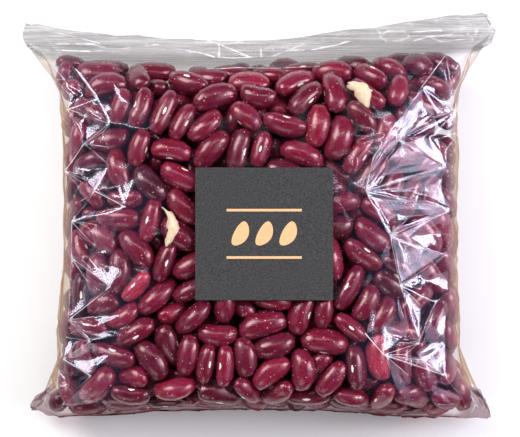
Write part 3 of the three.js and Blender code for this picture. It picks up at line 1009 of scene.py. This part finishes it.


# Skin of a dried kidney bean: a thin glossy coat, maroon, drawn in fine lines along the bean,
# with pale specks scattered over it
def beanSkin():
    material, tree = newMaterial("beanSkin")
    tone = addNode(tree, "ShaderNodeAttribute", attribute_name="tone").outputs["Fac"]
    grain = addNode(tree, "ShaderNodeAttribute", attribute_name="grain").outputs["Vector"]  # mm, X along it
    body = addNode(tree, "ShaderNodeValToRGB", {"Fac": tone})
    stops = ((0, "#3f0e1a"), (0.4, "#651429"), (0.8, "#7b1a31"), (0.9, "#8a2036"), (1, "#9e2a40"))
    ramp = body.color_ramp
    while len(ramp.elements) < len(stops):
        ramp.elements.new(1)
    for element, (at, colour) in zip(ramp.elements, stops):
        element.position, element.color = at, linear(colour)
    drawn = addNode(tree, "ShaderNodeMapping", {"Vector": grain, "Scale": (0.16, 1, 1)})
    lines = addNode(tree, "ShaderNodeTexNoise", {
        "Vector": drawn, "Scale": 1 / 0.8, "Detail": 3, "Roughness": 0.6})  # 0.8 mm lines
    cloud = addNode(tree, "ShaderNodeTexNoise", {
        "Vector": grain, "Scale": 1 / 4.5, "Detail": 2})  # 4.5 mm clouds
    grit = addNode(tree, "ShaderNodeTexNoise", {
        "Vector": grain, "Scale": 1 / 0.5, "Detail": 2})  # 0.5 mm pores
    paleSpecks = addNode(tree, "ShaderNodeTexVoronoi", {
        "Vector": grain, "Scale": 1 / 1.5})  # a speck in some of its 1.5 mm cells
    shade = addNode(tree, "ShaderNodeMapRange", {
        "Value": lines, "From Min": 0.3, "From Max": 0.7, "To Min": 0.62, "To Max": 1.35})
    pores = addNode(tree, "ShaderNodeMapRange", {
        "Value": grit, "From Min": 0.3, "From Max": 0.7, "To Min": 0.6, "To Max": 1.4})
    worn = addNode(tree, "ShaderNodeMath", {0: shade, 1: pores}, operation="MULTIPLY")
    lined = addNode(tree, "ShaderNodeMix", {
        "Factor": 1, "A": body, "B": worn}, data_type="RGBA", blend_type="MULTIPLY")
    purple = addNode(tree, "ShaderNodeMapRange", {
        "Value": cloud, "From Min": 0.45, "From Max": 0.75, "To Min": 0, "To Max": 0.42})
    clouded = addNode(tree, "ShaderNodeMix", {
        "Factor": purple, "A": lined, "B": linear("#67254a")}, data_type="RGBA")
    dot = addNode(tree, "ShaderNodeMapRange", {
        "Value": paleSpecks.outputs["Distance"], "From Min": 0.05, "From Max": 0.16, "To Min": 0.9, "To Max": 0})
    chosen = addNode(tree, "ShaderNodeMath", {0: paleSpecks.outputs["Color"], 1: 0.42}, operation="GREATER_THAN")
    speck = addNode(tree, "ShaderNodeMath", {0: dot, 1: chosen}, operation="MULTIPLY")
    specked = addNode(tree, "ShaderNodeMix", {
        "Factor": speck, "A": clouded, "B": linear("#ecd2d2")}, data_type="RGBA")
    gloss = addNode(tree, "ShaderNodeMapRange", {
        "Value": cloud, "From Min": 0.3, "From Max": 0.7, "To Min": 0.15, "To Max": 0.27})
    drawnRelief = addNode(tree, "ShaderNodeBump", {"Height": lines, "Strength": 0.5, "Distance": 0.12 * mm})
    relief = addNode(tree, "ShaderNodeBump", {
        "Height": grit, "Strength": 0.7, "Distance": 0.1 * mm, "Normal": drawnRelief})
    skin = addNode(tree, "ShaderNodeBsdfPrincipled", {
        "Base Color": specked, "Roughness": gloss, "IOR": 1.54, "Specular Tint": linear("#ffd0d0"),
        "Coat Weight": 0.2, "Coat Roughness": 0.07, "Normal": relief})
    addNode(tree, "ShaderNodeOutputMaterial", {"Surface": skin})
    return material


# Scar where the bean hung in its pod: chalky, off-white, a little browner in spots
def beanScar():
    material, tree = newMaterial("beanScar")
    grain = addNode(tree, "ShaderNodeAttribute", attribute_name="grain").outputs["Vector"]
    chalk = addNode(tree, "ShaderNodeTexNoise", {
        "Vector": grain, "Scale": 1 / 0.7, "Detail": 2})  # 0.7 mm spots
    colour = addNode(tree, "ShaderNodeMix", {
        "Factor": chalk, "A": linear("#d8cbb8"), "B": linear("#fbf8f2")}, data_type="RGBA")
    scar = addNode(tree, "ShaderNodeBsdfPrincipled", {"Base Color": colour, "Roughness": 0.65})
    addNode(tree, "ShaderNodeOutputMaterial", {"Surface": scar})
    return material


# Cast polypropylene film, clear and glossy: mirrors the lamps on every facet. Painted highlight lines run
# along its folds, and a painted bluish veil lies where it is crumpled. Grey and streaked where plies lie
# together in the mouth strip. Painted shade and bounce tint it tan where it is seen edge on at the sides,
# and painted shade tints it mauve along the bottom edge
def clearFilm():
    material, tree = newMaterial("clearFilm")
    mark = {}
    for name in ("fromStrip", "edgeShade", "hem", "crumpled", "slack", "ear", "fromGlintLine"):
        mark[name] = addNode(tree, "ShaderNodeAttribute", attribute_name=name).outputs["Fac"]
    place = addNode(tree, "ShaderNodeTexCoord").outputs["Object"]
    waves = addNode(tree, "ShaderNodeTexNoise", {
        "Vector": place, "Scale": 1 / (5 * mm), "Detail": 3, "Roughness": 0.55})  # 5 mm ripples
    ripple = addNode(tree, "ShaderNodeBump", {"Height": waves, "Strength": 0.3, "Distance": 0.1 * mm})
    drawn = addNode(tree, "ShaderNodeMapping", {"Vector": place, "Scale": (0.03, 1, 0.03)})
    plies = addNode(tree, "ShaderNodeTexNoise", {
        "Vector": drawn, "Scale": 1 / (0.7 * mm), "Detail": 3, "Roughness": 0.6})  # 0.7 mm lines
    facing = addNode(tree, "ShaderNodeLayerWeight", {"Blend": 0.5, "Normal": ripple}).outputs["Facing"]
    edgeOn = addNode(tree, "ShaderNodeMapRange", {
        "Value": facing, "From Min": 0.2, "From Max": 0.55, "To Min": 0, "To Max": 1})
    # Painted shade and bean-coloured bounce: tan where the film at the sides is seen edge on
    edgeOnShade = addNode(tree, "ShaderNodeMath", {0: mark["edgeShade"], 1: edgeOn}, operation="MULTIPLY")
    # Painted shade: mauve along the bottom edge where the film is seen edge on
    hemEdgeShade = addNode(tree, "ShaderNodeMath", {0: mark["hem"], 1: edgeOn}, operation="MULTIPLY")
    strip = addNode(tree, "ShaderNodeMapRange", {
        "Value": mark["fromStrip"], "From Min": 1.4, "From Max": 3.6, "To Min": 1, "To Max": 0})  # mm
    streak = addNode(tree, "ShaderNodeMapRange", {
        "Value": plies, "From Min": 0.35, "From Max": 0.65, "To Min": 0.45, "To Max": 1})
    grey = addNode(tree, "ShaderNodeMath", {0: strip, 1: streak}, operation="MULTIPLY")
    # Tints: painted shade at the sides and the bottom edge, the greyer plies of the ears and the strip
    tint = linear("#fdfdfd")
    for share, colour in ((edgeOnShade, "#e3d3c3"), (hemEdgeShade, "#b8838a"), (mark["ear"], "#d7cacb"), (grey, "#c5c4c1")):
        tint = addNode(tree, "ShaderNodeMix", {
            "Factor": share, "A": tint, "B": linear(colour)}, data_type="RGBA")
    clear = addNode(tree, "ShaderNodeBsdfTransparent", {"Color": tint})
    gloss = addNode(tree, "ShaderNodeBsdfGlossy", {
        "Color": linear("#ebecff"), "Roughness": 0.16, "Normal": ripple})
    mirror = addNode(tree, "ShaderNodeMapRange", {"Value": mark["slack"], "To Min": 0.005, "To Max": 0.077})
    steep = addNode(tree, "ShaderNodeMapRange", {
        "Value": facing, "From Min": 0.2, "From Max": 0.32, "To Min": 1, "To Max": 0.25})
    shine = addNode(tree, "ShaderNodeMath", {0: mirror, 1: steep}, operation="MULTIPLY")
    # Painted reflection: a faint bluish veil on the crumpled film
    paintedVeil = addNode(tree, "ShaderNodeBsdfDiffuse", {"Color": linear("#98aef2")})
    paintedVeilShare = addNode(tree, "ShaderNodeMath", {0: mark["crumpled"], 1: 0.015}, operation="MULTIPLY")
    # Painted highlights: white lines along the folds, broken up by the ripples
    line = addNode(tree, "ShaderNodeMapRange", {
        "Value": mark["fromGlintLine"], "From Min": 0.1, "From Max": 0.4, "To Min": 1, "To Max": 0})  # mm
    broken = addNode(tree, "ShaderNodeMapRange", {
        "Value": waves, "From Min": 0.35, "From Max": 0.65, "To Min": 0.15, "To Max": 0.75})
    paintedGlints = addNode(tree, "ShaderNodeMath", {0: line, 1: broken}, operation="MULTIPLY")
    # A lit white layer: haze of the strip's plies, plus the painted highlight lines and a painted tan bounce
    # at the edges
    cloudy = addNode(tree, "ShaderNodeMath", {0: grey, 1: 0.1}, operation="MULTIPLY")
    edgeShadeAndStripHaze = addNode(tree, "ShaderNodeMath", {0: edgeOnShade, 1: 0.22, 2: cloudy}, operation="MULTIPLY_ADD")
    hazeAndPaintedLightShare = addNode(tree, "ShaderNodeMath", {0: paintedGlints, 1: edgeShadeAndStripHaze}, operation="MAXIMUM")
    hazeAndPaintedLightColour = addNode(tree, "ShaderNodeMix", {
        "Factor": edgeOnShade, "A": linear("#efedf4"), "B": linear("#d6bd9f")}, data_type="RGBA")
    hazeAndPaintedLight = addNode(tree, "ShaderNodeBsdfDiffuse", {"Color": hazeAndPaintedLightColour})
    film = clear
    for share, layer in ((shine, gloss), (paintedVeilShare, paintedVeil), (hazeAndPaintedLightShare, hazeAndPaintedLight)):
        film = addNode(tree, "ShaderNodeMixShader", {0: share, 1: film, 2: layer})
    addNode(tree, "ShaderNodeOutputMaterial", {"Surface": film})
    return material


# Inside of a dried bean, broken and dry: chalky cream, a little mottled
def beanFlesh():
    material, tree = newMaterial("beanFlesh")
    place = addNode(tree, "ShaderNodeTexCoord").outputs["Object"]
    mottle = addNode(tree, "ShaderNodeTexNoise", {
        "Vector": place, "Scale": 1 / (1.5 * mm), "Detail": 4})  # 1.5 mm spots
    colour = addNode(tree, "ShaderNodeMix", {
        "Factor": mottle, "A": linear("#bfa27c"), "B": linear("#eadcc0")}, data_type="RGBA")
    relief = addNode(tree, "ShaderNodeBump", {"Height": mottle, "Strength": 0.5, "Distance": 0.2 * mm})
    flesh = addNode(tree, "ShaderNodeBsdfPrincipled", {
        "Base Color": colour, "Roughness": 0.6, "Normal": relief})
    addNode(tree, "ShaderNodeOutputMaterial", {"Surface": flesh})
    return material


# Uncoated charcoal paper: matt, with fibres a fraction of a millimetre long, drawn at 0.5 mm to show
def charcoalPaper():
    material, tree = newMaterial("charcoalPaper")
    place = addNode(tree, "ShaderNodeTexCoord").outputs["Object"]
    fibres = addNode(tree, "ShaderNodeTexNoise", {
        "Vector": place, "Scale": 1 / (0.5 * mm), "Detail": 4, "Roughness": 0.7})
    fleck = addNode(tree, "ShaderNodeMapRange", {
        "Value": fibres, "From Min": 0.35, "From Max": 0.65, "To Min": 0, "To Max": 1})
    colour = addNode(tree, "ShaderNodeMix", {
        "Factor": fleck, "A": linear("#161616"), "B": linear("#414141")}, data_type="RGBA")
    tooth = addNode(tree, "ShaderNodeBump", {"Height": fibres, "Strength": 0.4, "Distance": 0.05 * mm})
    paper = addNode(tree, "ShaderNodeBsdfPrincipled", {
        "Base Color": colour, "Roughness": 0.88, "Normal": tooth})
    addNode(tree, "ShaderNodeOutputMaterial", {"Surface": paper})
    return material


# Printing ink, matt and apricot, a little broken by the paper's 0.6 mm tooth
def apricotInk():
    material, tree = newMaterial("apricotInk")
    place = addNode(tree, "ShaderNodeTexCoord").outputs["Object"]
    tooth = addNode(tree, "ShaderNodeTexNoise", {
        "Vector": place, "Scale": 1 / (0.6 * mm), "Detail": 3, "Roughness": 0.7})
    colour = addNode(tree, "ShaderNodeMix", {
        "Factor": tooth, "A": linear("#cf9a68"), "B": linear("#edbd8c")}, data_type="RGBA")
    ink = addNode(tree, "ShaderNodeBsdfPrincipled", {"Base Color": colour, "Roughness": 0.6})
    addNode(tree, "ShaderNodeOutputMaterial", {"Surface": ink})
    return material


# White floor paint, matt
def floorPaint():
    material, tree = newMaterial("floorPaint")
    paint = addNode(tree, "ShaderNodeBsdfPrincipled", {"Base Color": linear("#f9f8f7"), "Roughness": 0.7})
    addNode(tree, "ShaderNodeOutputMaterial", {"Surface": paint})
    return material


# Studio: camera straight over the bag, as far as a photographer's arm, and soft boxes around it
studio = {
    "frameWidth": 192.6,  # mm of the bag's plane across the picture
    "frameCentre": (0.4, -0.9),
    "distance": 900,
    "sensor": 36,
    "floorSize": 4000,
    "world": 0.06,
    "lamps": (  # name, place in mm, size in mm, watts, colour
        ("keyBox", (-640, 500, 640), (520, 520), 10.9, "#ffffff"),
        ("rightBox", (760, 160, 520), (320, 440), 7.7, "#f6f4ff"),
        ("highBox", (590, 40, 810), (280, 380), 1.05, "#f6f4ff"),
        ("tubeLamp", (0, 420, 900), (1000, 45), 2.1, "#ffffff"),
        ("leftPanel", (-900, -60, 420), (500, 1000), 1.2, "#f3f0ff"),
        ("rightPanel", (880, -220, 640), (700, 900), 3.6, "#f3f0ff"),
        ("lowBox", (-300, -760, 460), (600, 420), 1.8, "#ffffff"),
    ),
}


def setStudio():
    s = studio
    scene = bpy.context.scene
    lens = bpy.data.cameras.new("camera")
    lens.sensor_width = s["sensor"]
    lens.lens = s["sensor"] * s["distance"] / s["frameWidth"]
    camera = bpy.data.objects.new("camera", lens)
    camera.location = Vector((*s["frameCentre"], s["distance"] + filmShape["seam"])) * mm
    scene.collection.objects.link(camera)
    scene.camera = camera
    for name, place, size, watts, colour in s["lamps"]:
        lamp = bpy.data.lights.new(name, "AREA")
        lamp.shape, lamp.size, lamp.size_y = "RECTANGLE", size[0] * mm, size[1] * mm
        lamp.energy, lamp.color = watts, linear(colour)[:3]
        box = bpy.data.objects.new(name, lamp)
        box.location = Vector(place) * mm
        box.rotation_euler = (-Vector(place)).to_track_quat("-Z", "Y").to_euler()
        scene.collection.objects.link(box)
    scene.world = bpy.data.worlds.new("studio")
    scene.world.use_nodes = True
    back = scene.world.node_tree.nodes["Background"]
    back.inputs["Color"].default_value = (1, 1, 1, 1)
    back.inputs["Strength"].default_value = s["world"]
    scene.view_settings.view_transform = "Standard"
    bm = bmesh.new()
    bmesh.ops.create_grid(bm, x_segments=1, y_segments=1, size=s["floorSize"] / 2 * mm)
    floor = bpy.data.objects.new("floor", meshFrom(bm, "floor"))
    scene.collection.objects.link(floor)
    floor.data.materials.append(floorPaint())
    print("studio set")


setStudio()
bag = smoothBag()
depthField = FilmDepth(bag)
beanMesh, beanPoints, beanFaces = makeBeans(depthField)
beanTree = BVHTree.FromPolygons(beanPoints.tolist(), beanFaces.tolist())
chips = makeChips(beanTree)
chipPoints = np.array([v.co for v in chips.verts])
chipFaces = np.array([[v.index for v in f.verts] for f in chips.faces])
heap = np.concatenate([beanPoints, chipPoints]), np.concatenate([beanFaces, chipFaces + len(beanPoints)])
heapTree = BVHTree.FromPolygons(heap[0].tolist(), heap[1].tolist())
bend = labelBend(beanTree)
folded = foldFilm()
filmMarks = clingFilm(folded, heapTree, bend)
bmesh.ops.scale(chips, verts=chips.verts, vec=(mm, mm, mm))
bmesh.ops.scale(folded, verts=folded.verts, vec=(mm, mm, mm))
filmMesh = meshFrom(folded, "film")
for name, values in filmMarks.items():
    filmMesh.attributes.new(name, "FLOAT", "POINT").data.foreach_set("value", values)
newPiece("film", filmMesh, "clear_film", clearFilm(), replaced=("bag",))
newPiece("beans", beanMesh, "bean_skin", beanSkin(), beanScar())
newPiece("brokenBeans", meshFrom(chips, "brokenBeans"), "bean_flesh", beanFlesh())
newPiece("paperLabel", makeLabel(bend), "label_paper", charcoalPaper(), replaced=("label",))
newPiece("labelInk", makeInk(bend), "label_print", apricotInk())
